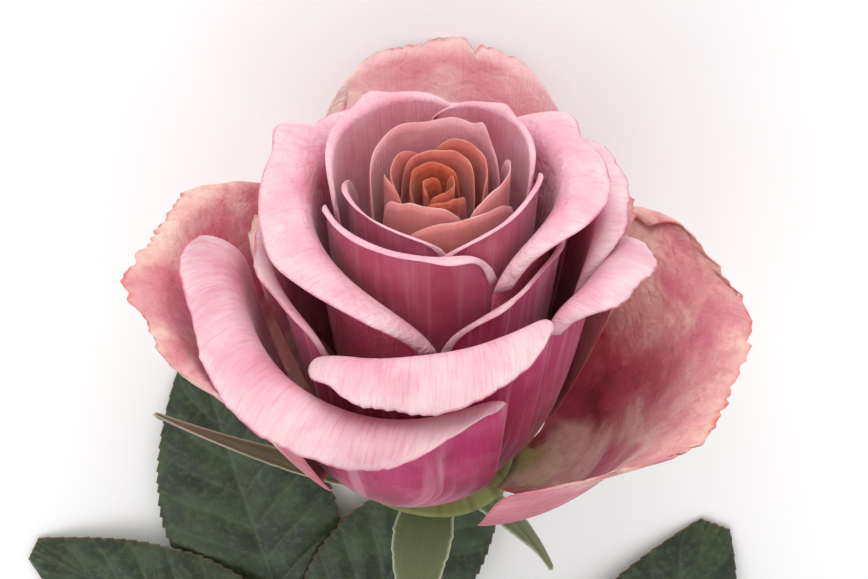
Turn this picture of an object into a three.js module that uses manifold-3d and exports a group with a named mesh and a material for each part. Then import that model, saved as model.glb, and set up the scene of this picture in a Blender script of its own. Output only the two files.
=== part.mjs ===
// A cut rose lying on a surface: an open bloom of many petals on its hip, five sepals, a prickly stem and
// three leaves. Units are millimetres, +Z is up, the stem runs along +Y and the head points to -Y.
// The bloom is shaped upright about its own axis and then laid down. Angles round it are in degrees: 0 is
// its front, 90 its right and 180 its back, which is the side that it lies on.
import * as THREE from 'three';
import { mergeVertices } from 'three/addons/utils/BufferGeometryUtils.js';
import Module from 'manifold-3d';

// Driving dimensions
const bloomRadius = 57; // out to the rims of the guard petals
const bloomHeight = 66; // from the petals' foot to the highest rim
const petalThickness = 0.6;
const petalGap = 0.35; // least clear space between two petals at their foot
const clawHalfAngle = 24; // half the foot of a petal, seen along the bloom's axis
const seatTop = 6; // height of the receptacle's tip above the petals' lowest foot
const seatSlope = 0.9; // how steeply the receptacle falls from its tip
const pieceGap = 0.3; // between pieces that touch
const hipRadius = 5.2;
const hipLength = 14;
const sepalThickness = 0.7;
const stemRadius = 2.6;
const stemLength = 232;
const stemLean = 9; // how far the stem bends off the bloom's axis towards its left, halfway down
const prickleLength = 4.5;
const prickleCount = 6;
const stalkRadius = 0.9;
const leafletThickness = 0.6;
const leafletLength = 66; // the terminal leaflet of a leaf
const leafletWidth = 36;

// Each petal, from the heart outwards. Shares are of bloomRadius or bloomHeight, and angles are in degrees.
// at: where its middle faces. half: half its width at the rim, as an angle. out and up: its rim's place, as
// shares. lip: length of the rolled rim. roll: how far the lip turns. lean: the rim's slope off the axis
// before the lip. drop: how much lower its rim's ends are, as a share of its own length. skew: how much
// higher its right end stands than its middle, as a share. cradle: how much higher both ends stand, as a
// share. flare: how far its left end opens flat instead of rolling, from 0 to 1. wave: height of the ripples
// along the rim. rounded: how much narrower it is at the rim than at its widest, as a share of its width.
// opens: how far along the petal it reaches its full width, as a share.
const petals = [
  { name: 'heart_petal_1', at: -120, half: 105, out: 0.04, up: 0.9, lean: 2, drop: 0.02 },
  { name: 'heart_petal_2', at: 60, half: 100, out: 0.058, up: 0.905, lean: 2, drop: 0.02 },
  { name: 'heart_petal_3', at: -150, half: 110, out: 0.082, up: 0.915, lean: 0, drop: 0.03 },
  { name: 'heart_petal_4', at: 20, half: 60, out: 0.102, up: 0.905, lean: 0, drop: 0.04 },
  { name: 'heart_petal_5', at: 165, half: 92, out: 0.1215, up: 0.94, lean: 0, drop: 0.04 },
  { name: 'heart_petal_6', at: -110, half: 70, out: 0.142, up: 0.945, lean: 0, drop: 0.05 },
  { name: 'heart_petal_7', at: 125, half: 72, out: 0.16, up: 0.96, lean: 0, drop: 0.05 },
  { name: 'heart_petal_8', at: -68, half: 36, out: 0.163, up: 0.955, lean: 0, drop: 0.05 },
  { name: 'cup_petal_1', at: -170, half: 105, out: 0.207, up: 0.985, lean: 1, drop: 0.05 },
  { name: 'cup_petal_2', at: 70, half: 55, out: 0.235, up: 0.975, lean: 2, drop: 0.05 },
  { name: 'cup_petal_3', at: -14, half: 50, out: 0.2, up: 0.95, lean: 2, drop: 0.04 },
  { name: 'cup_petal_4', at: 26, half: 60, out: 0.256, up: 0.935, lean: 3, drop: 0.05 },
  {
    name: 'middle_petal_1', at: -50, half: 66, out: 0.283, up: 0.91, lean: 4, drop: 0.06, lip: 1.4,
    roll: 70,
  },
  {
    name: 'middle_petal_2', at: 132, half: 62, out: 0.299, up: 0.985, lean: 3, drop: 0.07, lip: 1.6,
    roll: 70,
  },
  {
    name: 'middle_petal_3', at: 45, half: 52, out: 0.328, up: 0.94, lean: 4, drop: 0.04, lip: 1.6,
    roll: 80, skew: 0.05,
  },
  {
    name: 'middle_petal_4', at: -138, half: 70, out: 0.33, up: 0.975, lean: 4, drop: 0.07, lip: 2.6,
    roll: 80,
  },
  {
    name: 'middle_petal_5', at: -30, half: 66, out: 0.356, up: 0.89, lean: 5, drop: 0.05, lip: 2.2,
    roll: 90,
  },
  {
    name: 'middle_petal_6', at: 95, half: 66, out: 0.381, up: 0.885, lean: 7, drop: 0.07, lip: 11,
    roll: 110,
  },
  {
    name: 'middle_petal_7', at: -72, half: 74, out: 0.396, up: 0.8, lean: 7, drop: 0.05, lip: 12,
    roll: 110, skew: -0.1, cradle: -0.04, flare: 0.6,
  },
  { name: 'middle_petal_8', at: 175, half: 52, out: 0.41, up: 0.8, lean: 8, drop: 0.1, lip: 4, roll: 80 },
  {
    name: 'outer_petal_1', at: 42, half: 42, out: 0.42, up: 0.76, lean: 9, drop: 0.06, lip: 2,
    roll: 80, skew: 0.08,
  },
  {
    name: 'outer_petal_2', at: 150, half: 50, out: 0.464, up: 0.8, lean: 11, drop: 0.1, lip: 4,
    roll: 80,
  },
  {
    name: 'outer_petal_3', at: -152, half: 50, out: 0.512, up: 0.8, lean: 12, drop: 0.1, lip: 4,
    roll: 80,
  },
  {
    name: 'outer_petal_4', at: 108, half: 42, out: 0.505, up: 0.77, lean: 12, drop: 0.08, lip: 9,
    roll: 105,
  },
  {
    name: 'outer_petal_5', at: 72, half: 30, out: 0.53, up: 0.7, lean: 12, drop: 0.05, lip: 12,
    roll: 115, skew: -0.04,
  },
  {
    name: 'outer_petal_6', at: -78, half: 38, out: 0.535, up: 0.68, lean: 14, drop: 0.1, lip: 4,
    roll: 70,
  },
  {
    name: 'outer_petal_7', at: -2, half: 44, out: 0.565, up: 0.685, lean: 12, drop: 0.03, lip: 14,
    roll: 135, skew: 0.09, opens: 0.3,
  },
  {
    name: 'outer_petal_8', at: 178, half: 46, out: 0.575, up: 0.73, lean: 18, drop: 0.12, lip: 5,
    roll: 70,
  },
  {
    name: 'outer_petal_9', at: -35, half: 57, out: 0.625, up: 0.49, lean: 14, drop: 0.02, lip: 15,
    roll: 140, skew: -0.04, cradle: 0.15, flare: 0.85, opens: 0.3,
  },
  {
    name: 'guard_petal_1', at: -138, half: 38, out: 0.648, up: 0.54, lean: 34, drop: 0.16, lip: 6,
    roll: 50, wave: 1, rounded: 0.24, opens: 0.3,
  },
  {
    name: 'guard_petal_2', at: 130, half: 38, out: 0.65, up: 0.54, lean: 34, drop: 0.16, lip: 6,
    roll: 50, wave: 1, rounded: 0.24, opens: 0.3,
  },
  {
    name: 'guard_petal_3', at: 178, half: 34, out: 0.9, up: 0.735, lean: 36, drop: 0.14, lip: 4,
    roll: 30, wave: 1, rounded: 0.24, opens: 0.3,
  },
  {
    name: 'guard_petal_4', at: -93, half: 55, out: 0.86, up: 0.54, lean: 46, drop: 0.18, lip: 7,
    roll: 45, wave: 1, rounded: 0.24, opens: 0.3,
  },
  {
    name: 'guard_petal_5', at: 74, half: 60, out: 0.89, up: 0.35, lean: 58, drop: 0.1, lip: 6,
    roll: 30, skew: 0.06, cradle: 0.14, wave: 1, rounded: 0.24, opens: 0.3,
  },
];

const radians = THREE.MathUtils.degToRad;

// A closed solid from a sheet: middle(u, v) gives the sheet's middle, with u across from -1 to 1 and v along
// from 0 to 1.
function sheetSolid(middle, thickness, across, along) {
  const step = 1e-3;
  const corners = [];
  for (const side of [1, -1]) {
    for (let j = 0; j <= along; j += 1) {
      for (let i = 0; i <= across; i += 1) {
        const u = (2 * i) / across - 1;
        const v = j / along;
        const acrossSheet = middle(u + step, v).sub(middle(u - step, v));
        const alongSheet = middle(u, Math.min(v + step, 1)).sub(middle(u, Math.max(v - step, 0)));
        const normal = acrossSheet.cross(alongSheet).normalize();
        corners.push(middle(u, v).addScaledVector(normal, (side * thickness) / 2));
      }
    }
  }
  const row = across + 1;
  const sheet = row * (along + 1);
  const index = [];
  const quad = (a, b, c, d) => index.push(a, b, c, a, c, d);
  for (let j = 0; j < along; j += 1) {
    for (let i = 0; i < across; i += 1) {
      const a = j * row + i;
      quad(a, a + 1, a + row + 1, a + row);
      quad(sheet + a, sheet + a + row, sheet + a + row + 1, sheet + a + 1);
    }
    const left = j * row;
    const right = left + across;
    quad(left, left + row, sheet + left + row, sheet + left);
    quad(right, sheet + right, sheet + right + row, right + row);
  }
  for (let i = 0; i < across; i += 1) {
    const foot = i;
    const rim = along * row + i;
    quad(foot, sheet + foot, sheet + foot + 1, foot + 1);
    quad(rim, rim + 1, sheet + rim + 1, sheet + rim);
  }
  const geometry = new THREE.BufferGeometry();
  const values = corners.flatMap((corner) => corner.toArray());
  geometry.setAttribute('position', new THREE.Float32BufferAttribute(values, 3));
  geometry.setIndex(index);
  return geometry;
}

const colours = {
  heart: 0xd8744f,
  cup: 0xd9748a,
  middle: 0xe3a3b4,
  outer: 0xb84a78,
  guard: 0xd9a59c,
  sepal: 0x5b6b3f,
  stem: 0x6b4a34,
  leaf: 0x37482f,
};

function namedMesh(name, geometry, colour) {
  const material = new THREE.MeshStandardMaterial({ color: colour, roughness: 0.7, metalness: 0 });
  const mesh = new THREE.Mesh(geometry, material);
  mesh.name = name;
  return mesh;
}

// The surface that the petals' feet stand on, which falls away from the axis.
const seatHeight = (radius) => seatTop - seatSlope * radius;

// The feet, from the heart outwards: each stands outside every foot that it would overlap.
const footSpread = 1.25; // a foot's pitch, in petals with their gap, measured down the slope
const footPitch = (footSpread * (petalThickness + petalGap)) / Math.hypot(1, seatSlope);
const footStep = 0.1;
const footReach = 3.2; // feet nearer than this many claw half-angles stand one outside the other
const innermostFoot = 1.1;
const turnBetween = (a, b) => Math.abs(((((a - b) % 360) + 540) % 360) - 180);
function placeFeet() {
  const radii = [];
  for (const petal of petals) {
    const reach = footReach * clawHalfAngle;
    const within = radii.filter((_, i) => turnBetween(petals[i].at, petal.at) < reach);
    const last = radii.at(-1) ?? innermostFoot;
    radii.push(Math.max(last + footStep, ...within.map((radius) => radius + footPitch)));
  }
  return radii;
}
const footRadii = placeFeet();
const outermostFoot = Math.max(...footRadii);

// A petal's rows of facets along its length: those below the lip, and those on a short or a long lip.
const bodyRows = 5;
const longLip = 6;
const lipRows = ({ lip = 0 }) => (lip > longLip ? 4 : 2 * Math.sign(lip));

// How a petal's profile curves: how far below the rim its straight shoulder starts and how high its belly
// lies, as shares of its rise, and how near the belly comes to the shoulder's radius.
const shoulderDrop = 0.42;
const bellyRise = 0.15;
const bellyReach = 0.9;

// How the ends of a petal's rim differ from its middle: the lip turns less and is shorter there, and a flared
// end turns less still.
const endRollLoss = 0.35;
const endLipLoss = 0.75;
const flareRollLoss = 0.7;

// Where along a petal its claw starts to widen and where it reaches its full width.
const openingFrom = 0.05;
const openingTo = 0.52;
const plainRounding = 0.12;
const waveCount = 9; // ripples along a guard petal's rim, in radians from its middle to its end

// A lip folds in two arcs: a tight one over the first share of its length, with the first share of its roll,
// and a slack one over the rest.
const foldShare = 0.5;
const foldTurn = 0.75;
function addArc(place, start, turn, length) {
  place.x += (length / turn) * (Math.cos(start) - Math.cos(start + turn));
  place.y += (length / turn) * (Math.sin(start + turn) - Math.sin(start));
}

// A petal's middle surface in the bloom's frame. Its profile rises from the foot along a cubic curve to the
// rim and then folds over, the lip. The petal widens from a narrow claw to its full angle.
function petalSheet(petal, footRadius) {
  const lip = petal.lip ?? 0;
  const roll = radians(petal.roll ?? 0);
  const lean = radians(petal.lean);
  const skew = petal.skew ?? 0;
  const cradle = petal.cradle ?? 0;
  const rounded = petal.rounded ?? plainRounding;
  const foot = new THREE.Vector2(footRadius, seatHeight(footRadius) + pieceGap + petalThickness);
  const slope = new THREE.Vector2(Math.sin(lean), Math.cos(lean));
  const profileAt = (u) => {
    const up = petal.up + skew * u + cradle * u * u;
    const rim = new THREE.Vector2(petal.out * bloomRadius, up * bloomHeight);
    const rise = rim.y - foot.y;
    const shoulder = rim.clone().addScaledVector(slope, -rise * shoulderDrop);
    const bellyRadius = THREE.MathUtils.lerp(foot.x, shoulder.x, bellyReach);
    const belly = new THREE.Vector2(bellyRadius, foot.y + rise * bellyRise);
    return new THREE.CubicBezierCurve(foot, belly, shoulder, rim);
  };
  const bodyShare = bodyRows / (bodyRows + lipRows(petal));
  return (u, v) => {
    const profile = profileAt(u);
    const edge = Math.abs(u) ** 3;
    const end = 1 - (petal.drop ?? 0) * edge;
    const along = Math.min(v / bodyShare, 1) * end;
    const place = profile.getPoint(along);
    if (v > bodyShare) {
      const past = (v - bodyShare) / (1 - bodyShare);
      const tangent = profile.getTangent(end);
      const start = Math.atan2(tangent.x, tangent.y);
      const flat = (petal.flare ?? 0) * Math.min(u, 0) ** 2;
      const turn = roll * (1 - endRollLoss * edge) * (1 - flareRollLoss * flat);
      const length = lip * (1 - endLipLoss * edge * (1 - flat));
      const tight = Math.min(past / foldShare, 1);
      const slack = Math.max((past - foldShare) / (1 - foldShare), 0);
      addArc(place, start, turn * foldTurn * tight, length * foldShare * tight);
      if (slack > 0) {
        const left = turn * (1 - foldTurn) * slack;
        addArc(place, start + turn * foldTurn, left, length * (1 - foldShare) * slack);
      }
    }
    const opened = THREE.MathUtils.smoothstep(v, openingFrom, petal.opens ?? openingTo);
    const half = THREE.MathUtils.lerp(clawHalfAngle, petal.half, opened) * (1 - rounded * v ** 5);
    const angle = radians(petal.at + u * half);
    const ripple = (petal.wave ?? 0) * Math.sin(u * waveCount + petal.at) * v ** 4;
    const radius = place.x + ripple;
    return new THREE.Vector3(radius * Math.sin(angle), -radius * Math.cos(angle), place.y);
  };
}

const bloom = new THREE.Group();
const wrappingHalf = 80; // a petal wider than this wraps round the heart and needs more facets across
petals.forEach((petal, i) => {
  const columns = petal.half > wrappingHalf ? 11 : 6;
  const rows = bodyRows + lipRows(petal);
  const shape = sheetSolid(petalSheet(petal, footRadii[i]), petalThickness, columns, rows);
  bloom.add(namedMesh(petal.name, shape, colours[petal.name.split('_')[0]]));
});

// The hip with the receptacle on top: turned from the receptacle's tip past the sepals' seat to the stem.
const seatRadius = outermostFoot + petalThickness + pieceGap;
const seatEdge = seatHeight(seatRadius);
const hipFloor = seatEdge - hipLength;
function hipGeometry() {
  const outline = new THREE.Path();
  outline.moveTo(0, hipFloor);
  outline.lineTo(stemRadius, hipFloor);
  outline.bezierCurveTo(
    hipRadius, hipFloor + hipLength * 0.2,
    hipRadius, seatEdge - hipLength * 0.45,
    hipRadius * 0.9, seatEdge - hipLength * 0.3,
  );
  outline.lineTo(seatRadius, seatEdge);
  outline.lineTo(0, seatTop);
  const geometry = new THREE.LatheGeometry(outline.getPoints(6), 20);
  geometry.rotateX(Math.PI / 2);
  return geometry;
}
bloom.add(namedMesh('hip', hipGeometry(), colours.stem));

// Sepals, which stand round the hip just under the petals. length and width are in millimetres. out: slope at
// the foot and at the tip, in degrees off the bloom's axis, so 90 is level and 180 hangs straight down.
const sepalSeat = 0.36; // how far below the petals' seat the sepals stand, as a share of hipLength
const sepalCup = 0.08; // how far a sepal's middle stands out from its edges, as a share of its width
const sepals = [
  { name: 'sepal_1', at: -12, length: 26, width: 11.5, out: [112, 168] },
  { name: 'sepal_2', at: -82, length: 52, width: 7, out: [72, 54] },
  { name: 'sepal_3', at: 72, length: 24, width: 7, out: [112, 156] },
  { name: 'sepal_4', at: 128, length: 24, width: 7, out: [112, 150] },
  { name: 'sepal_5', at: -150, length: 26, width: 7, out: [112, 150] },
];

// Half a leaf's width along its length, v, as a share of its widest: half a sine wave between the shares from
// and to, on top of its foot's width. A low power under 1 moves the widest place towards the foot, and a full
// power over 1 draws the ends in.
function leafOutline(v, { foot, from, to, low, full }) {
  return foot + (1 - foot) * Math.sin(Math.PI * (from + (to - from) * v) ** low) ** full;
}

// A sepal's middle surface: a strip along a circular arc in the plane of the axis, widest near its foot.
function sepalSheet({ at, length, width, out }) {
  const [first, last] = out.map(radians);
  const face = radians(at);
  const outward = new THREE.Vector3(Math.sin(face), -Math.cos(face), 0);
  const sideways = new THREE.Vector3(Math.cos(face), Math.sin(face), 0);
  const startRadius = hipRadius + sepalThickness + pieceGap;
  const startHeight = seatEdge - hipLength * sepalSeat;
  const bend = last - first;
  return (u, v) => {
    const slope = first + bend * v;
    const away = startRadius + (length / bend) * (Math.cos(first) - Math.cos(slope));
    const height = startHeight + (length / bend) * (Math.sin(slope) - Math.sin(first));
    const half = (width / 2) * leafOutline(v, { foot: 0.12, from: 0.12, to: 0.96, low: 0.62, full: 1.2 });
    const cup = (1 - u * u) * width * sepalCup;
    return outward.clone().multiplyScalar(away + cup).addScaledVector(sideways, u * half)
      .add(new THREE.Vector3(0, 0, height));
  };
}
for (const sepal of sepals) {
  bloom.add(namedMesh(sepal.name, sheetSolid(sepalSheet(sepal), sepalThickness, 4, 8), colours.sepal));
}

// The stem, from just under the hip to its cut end, bent gently to the bloom's left, with prickles on it.
const stemTop = new THREE.Vector3(0, 0, hipFloor - pieceGap);
const stemLine = new THREE.CatmullRomCurve3([
  stemTop,
  new THREE.Vector3(0, 0, stemTop.z - stemRadius * 2),
  new THREE.Vector3(-stemLean * 0.62, 0, stemTop.z - stemLength * 0.2),
  new THREE.Vector3(-stemLean, 0, stemTop.z - stemLength * 0.45),
  new THREE.Vector3(-stemLean * 0.6, 0, stemTop.z - stemLength * 0.75),
  new THREE.Vector3(0, 0, stemTop.z - stemLength),
]);

const wasm = await Module();
wasm.setup();

// A geometry as a solid for cutting and joining, and a solid back as a geometry.
function solidOf(geometry) {
  const bare = geometry.clone();
  bare.deleteAttribute('normal');
  bare.deleteAttribute('uv');
  const merged = mergeVertices(bare);
  return new wasm.Manifold(new wasm.Mesh({
    numProp: 3,
    vertProperties: merged.attributes.position.array,
    triVerts: new Uint32Array(merged.index.array),
  }));
}
function geometryOf(solid) {
  const mesh = solid.getMesh();
  const geometry = new THREE.BufferGeometry();
  geometry.setAttribute('position', new THREE.BufferAttribute(new Float32Array(mesh.vertProperties), 3));
  geometry.setIndex(new THREE.BufferAttribute(new Uint32Array(mesh.triVerts), 1));
  return geometry;
}

// A round rod along a curve.
function rodGeometry(curve, radius, sides, steps) {
  const section = new THREE.Shape();
  for (let i = 0; i < sides; i += 1) {
    const angle = (2 * Math.PI * i) / sides;
    section[i ? 'lineTo' : 'moveTo'](radius * Math.cos(angle), radius * Math.sin(angle));
  }
  section.closePath();
  return new THREE.ExtrudeGeometry(section, { steps, extrudePath: curve, bevelEnabled: false });
}

// A prickle is a flattened cone that hooks back towards the cut end, with its foot sunk in the stem.
const prickleFoot = 0.38; // half its foot's length, as a share of its own length
const prickleFlat = 0.45; // its foot's width, as a share of its foot's length
const prickleHook = 0.35; // how far it leans towards the cut end for each millimetre outwards
const firstPrickle = 0.2; // where the first one grows, as a share of the stem
const prickleSpan = 0.72; // the share of the stem that they are spread over
const prickleTurn = 137.5; // how far round the stem each one stands from the last, in degrees
const firstPrickleSide = -60;
function prickleSolid(share, side) {
  const foot = stemLine.getPointAt(share);
  const outward = new THREE.Vector3(Math.sin(side), -Math.cos(side), 0);
  const height = prickleLength + stemRadius;
  const cone = new THREE.ConeGeometry(prickleLength * prickleFoot, height, 8);
  cone.scale(prickleFlat, 1, 1);
  cone.translate(0, height / 2, 0);
  const down = new THREE.Vector3(0, 0, -1);
  const aim = outward.clone().addScaledVector(down, prickleHook).normalize();
  const across = new THREE.Vector3().crossVectors(aim, down).normalize();
  const along = new THREE.Vector3().crossVectors(across, aim);
  cone.applyMatrix4(new THREE.Matrix4().makeBasis(across, aim, along).setPosition(foot));
  return solidOf(cone);
}
function stemGeometry() {
  let stem = solidOf(rodGeometry(stemLine, stemRadius, 12, 16));
  for (let i = 0; i < prickleCount; i += 1) {
    const share = firstPrickle + (prickleSpan * i) / prickleCount;
    stem = stem.add(prickleSolid(share, radians(firstPrickleSide + prickleTurn * i)));
  }
  return geometryOf(stem);
}
bloom.add(namedMesh('stem', stemGeometry(), colours.stem));

// The flower lies on its back: the surface touches the stem's cut end and the guard petal that reaches
// furthest back.
function restingTilt() {
  const end = new THREE.Vector3(0, stemRadius, stemTop.z - stemLength);
  let tilt = 0;
  for (const mesh of bloom.children) {
    const corners = mesh.geometry.attributes.position;
    for (let i = 0; i < corners.count; i += 1) {
      if (corners.getZ(i) > 0) {
        tilt = Math.max(tilt, Math.atan2(corners.getY(i) - end.y, corners.getZ(i) - end.z));
      }
    }
  }
  return tilt;
}
const tilt = restingTilt();
const rose = new THREE.Group();
bloom.applyMatrix4(new THREE.Matrix4().makeBasis(
  new THREE.Vector3(-1, 0, 0),
  new THREE.Vector3(0, -Math.sin(tilt), -Math.cos(tilt)),
  new THREE.Vector3(0, -Math.cos(tilt), Math.sin(tilt)),
));
bloom.position.z = -new THREE.Box3().setFromObject(bloom, true).min.z;
bloom.updateMatrixWorld(true);
rose.add(bloom);

// Leaves. along: where the stalk leaves the stem, as a share of the stem. side: 1 is +X and -1 is -X. out and
// ahead: how far the stalk reaches sideways and towards the head. heading: the way the terminal leaflet
// points, in degrees from -Y towards the leaf's own side. pairs: where each pair of leaflets sits along the
// stalk, the headings of its outer and inner leaflet and their size as a share of the terminal one.
const leaves = [
  {
    along: 0.38, side: 1, out: 30, ahead: 34, heading: 15, size: 1,
    pairs: [{ at: 0.86, outer: 66, inner: -40, size: 0.88 }],
  },
  {
    along: 0.52, side: -1, out: 30, ahead: 29, heading: 24, size: 1,
    pairs: [{ at: 0.86, outer: 80, inner: -34, size: 0.76 }],
  },
  {
    along: 0.82, side: 1, out: 34, ahead: 46, heading: 24, size: 0.74,
    pairs: [{ at: 0.82, outer: 80, inner: -38, size: 0.66 }, { at: 0.5, outer: 104, inner: -70, size: 0.5 }],
  },
];

const floorClearance = 0.15;

// The way that a heading points on the surface, on the leaf's own side.
function headingVector(degrees, side) {
  const angle = radians(degrees);
  return new THREE.Vector3(side * Math.sin(angle), -Math.cos(angle), 0);
}

// A leaflet's middle surface: it runs from its foot to a tip on the surface in a low arch, folded a little
// along its midrib, with its outline widest just under the middle.
const leafletArch = 0.22; // four times the arch's height, as a share of its length
const leafletFold = [0.16, 0.2]; // rise beside the midrib and fall towards the edge, per half width
function leafletSheet(foot, heading, length, width) {
  const sideways = new THREE.Vector3(-heading.y, heading.x, 0);
  const tipHeight = leafletThickness / 2 + floorClearance;
  return (u, v) => {
    const half = (width / 2) * leafOutline(v, { foot: 0.04, from: 0.02, to: 0.96, low: 0.82, full: 0.85 });
    const arch = length * leafletArch * v * (1 - v);
    const fold = (leafletFold[0] * Math.abs(u) - leafletFold[1] * u * u) * half;
    const height = THREE.MathUtils.lerp(foot.z, tipHeight, v ** 0.8) + arch + fold;
    const place = foot.clone().addScaledVector(heading, length * v).addScaledVector(sideways, u * half);
    return place.setZ(Math.max(height, tipHeight));
  };
}

const stalkLift = 1; // clear space under the stalk's end
const stalkLead = 0.3; // how far out the stalk leaves the stem square to it, as a share of its reach
const stalkBend = { out: 0.62, ahead: 0.45, up: 0.55 }; // where it turns down, as shares of its own reach
leaves.forEach((leaf, i) => {
  const name = `leaf_${i + 1}`;
  const origin = stemLine.getPointAt(leaf.along).applyMatrix4(bloom.matrixWorld);
  const outward = new THREE.Vector3(leaf.side, 0, 0);
  const start = origin.clone().addScaledVector(outward, stemRadius + pieceGap * 2);
  const end = new THREE.Vector3(leaf.side * leaf.out, origin.y - leaf.ahead, stalkRadius + stalkLift);
  const lead = start.clone().addScaledVector(outward, leaf.out * stalkLead);
  const bend = new THREE.Vector3(
    leaf.side * leaf.out * stalkBend.out,
    origin.y - leaf.ahead * stalkBend.ahead,
    origin.z * stalkBend.up,
  );
  const line = new THREE.CubicBezierCurve3(start, lead, bend, end);
  rose.add(namedMesh(`${name}_stalk`, rodGeometry(line, stalkRadius, 8, 10), colours.leaf));
  const terminal = headingVector(leaf.heading, leaf.side);
  const size = leaf.size * leafletLength;
  const width = leaf.size * leafletWidth;
  const foot = end.clone().addScaledVector(line.getTangent(1), pieceGap * 2);
  const sheet = leafletSheet(foot, terminal, size, width);
  rose.add(namedMesh(`${name}_leaflet_1`, sheetSolid(sheet, leafletThickness, 4, 8), colours.leaf));
  leaf.pairs.forEach((pair, j) => {
    const joint = line.getPointAt(pair.at);
    const run = line.getTangentAt(pair.at).setZ(0).normalize();
    for (const [k, angle] of [pair.outer, pair.inner].entries()) {
      const heading = headingVector(angle, leaf.side);
      const away = new THREE.Vector3(-run.y, run.x, 0);
      away.multiplyScalar(Math.sign(away.dot(heading)));
      const base = joint.clone().addScaledVector(away, stalkRadius + pieceGap * 5);
      base.z += stalkRadius;
      const blade = leafletSheet(base, heading, size * pair.size, width * pair.size);
      const solid = sheetSolid(blade, leafletThickness, 4, 7);
      rose.add(namedMesh(`${name}_leaflet_${2 + 2 * j + k}`, solid, colours.leaf));
    }
  });
});

// The whole rose, with its origin on the surface under the middle of its box.
const box = new THREE.Box3().setFromObject(rose, true);
const middle = box.getCenter(new THREE.Vector3());
rose.position.set(-middle.x, -middle.y, -box.min.z);

export default rose;
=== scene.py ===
"""A cut rose lying on a pale table, seen into its open bloom."""

import bpy
import numpy as np
from mathutils import Matrix, Vector


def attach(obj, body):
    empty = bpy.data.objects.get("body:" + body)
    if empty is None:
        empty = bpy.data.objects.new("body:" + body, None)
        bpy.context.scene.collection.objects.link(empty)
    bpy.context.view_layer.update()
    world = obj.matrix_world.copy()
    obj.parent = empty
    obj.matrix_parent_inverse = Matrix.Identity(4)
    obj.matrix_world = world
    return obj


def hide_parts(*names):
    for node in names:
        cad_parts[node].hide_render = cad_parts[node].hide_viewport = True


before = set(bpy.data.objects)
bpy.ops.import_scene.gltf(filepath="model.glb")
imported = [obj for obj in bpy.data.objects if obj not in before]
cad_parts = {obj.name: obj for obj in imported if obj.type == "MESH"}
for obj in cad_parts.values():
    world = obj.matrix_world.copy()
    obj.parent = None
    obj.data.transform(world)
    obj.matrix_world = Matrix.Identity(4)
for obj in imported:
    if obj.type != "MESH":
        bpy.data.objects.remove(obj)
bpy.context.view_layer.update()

# The bloom's own frame. The hip is turned about the bloom's axis, so the axis runs from the middle of its
# corners to the receptacle's tip, the corner nearest the head. Petals are worked out upright about that
# axis, then laid down.
MM = 0.001
SEAT_TOP = 6.0
hip_corners = np.array([corner.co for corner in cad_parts["hip"].data.vertices])
hip_corners = np.unique(np.round(hip_corners, 7), axis=0)
seat_tip = hip_corners[hip_corners[:, 1].argmin()]
bloom_axis = (seat_tip - hip_corners.mean(axis=0)) * [0.0, 1.0, 1.0]
bloom_axis /= np.linalg.norm(bloom_axis)
bloom_right = np.array([-1.0, 0.0, 0.0])
bloom_back = np.cross(bloom_axis, bloom_right)
bloom_foot = seat_tip - SEAT_TOP * MM * bloom_axis
tilt = float(np.arctan2(bloom_axis[2], -bloom_axis[1]))


def laid_down(points):
    """Bloom millimetres (right, back, up its axis) to metres in the part's frame: foot + x right + y back +
    z axis."""
    return bloom_foot + MM * (points @ np.array([bloom_right, bloom_back, bloom_axis]))


# Camera: it looks down on the lying rose from 40 degrees above the bloom's own equator, with the head
# towards the top of the picture. A long lens at arm's length frames the bloom, and the stem leaves by the
# lower edge.
VIEW_RISE = np.radians(40.0)
VIEW_DISTANCE = 0.8
VIEW_WIDTH = 0.1638
VIEW_ACROSS = -0.00035
VIEW_UP = 0.0265
down_angle = VIEW_RISE - tilt
to_camera = Vector((0.0, -np.sin(down_angle), np.cos(down_angle)))
picture_up = Vector((0.0, -np.cos(down_angle), -np.sin(down_angle)))
picture_right = Vector((-1.0, 0.0, 0.0))
looked_at = Vector(bloom_foot) + picture_right * VIEW_ACROSS + picture_up * VIEW_UP
camera = bpy.data.objects.new("camera", bpy.data.cameras.new("camera"))
bpy.context.scene.collection.objects.link(camera)
camera.data.sensor_width = 36.0
camera.data.lens = camera.data.sensor_width * VIEW_DISTANCE / VIEW_WIDTH
camera.matrix_world = Matrix((picture_right, picture_up, to_camera)).transposed().to_4x4()
camera.matrix_world.translation = looked_at + to_camera * VIEW_DISTANCE
bpy.context.scene.camera = camera
bpy.context.scene.view_settings.view_transform = "Standard"

# Heart petals: eight small petals rolled into the tube in the middle of the bloom and the ring round it.
# They are thin satin tissue, orange, partly their own tone and partly a painted glow of the light that comes
# through them, and darker towards the claw, partly their own tone and partly painted shade deep in the tube.
# Each stands on the receptacle by a narrow claw.
BLOOM_RADIUS = 57.0
BLOOM_HEIGHT = 66.0
SEAT_SLOPE = 0.9
CLAW_HALF = 24.0
FOOT_PITCH = 1.25 * (0.6 + 0.35) / np.hypot(1.0, SEAT_SLOPE)
FOOT_STEP = 0.1
FOOT_REACH = 3.2
FOOT_LIFT = 0.9
BODY_ROWS = 5
LONG_LIP = 6.0
FOLD_SHARE = 0.5
FOLD_TURN = 0.75
SHOULDER_DROP = 0.42
BELLY_RISE = 0.15
BELLY_REACH = 0.9
END_ROLL_LOSS = 0.35
END_LIP_LOSS = 0.75
FLARE_ROLL_LOSS = 0.7
CORNER_LOSS = 0.07
BARE_RIM = 0.25
OPENING_FROM = 0.05
WAVE_COUNT = 9.0
PETAL_THICKNESS = 0.36
PETAL_ACROSS = 80
PETAL_ALONG = 40
LIP_ALONG = 26
draw = np.random.default_rng(7)
feet = []


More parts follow.
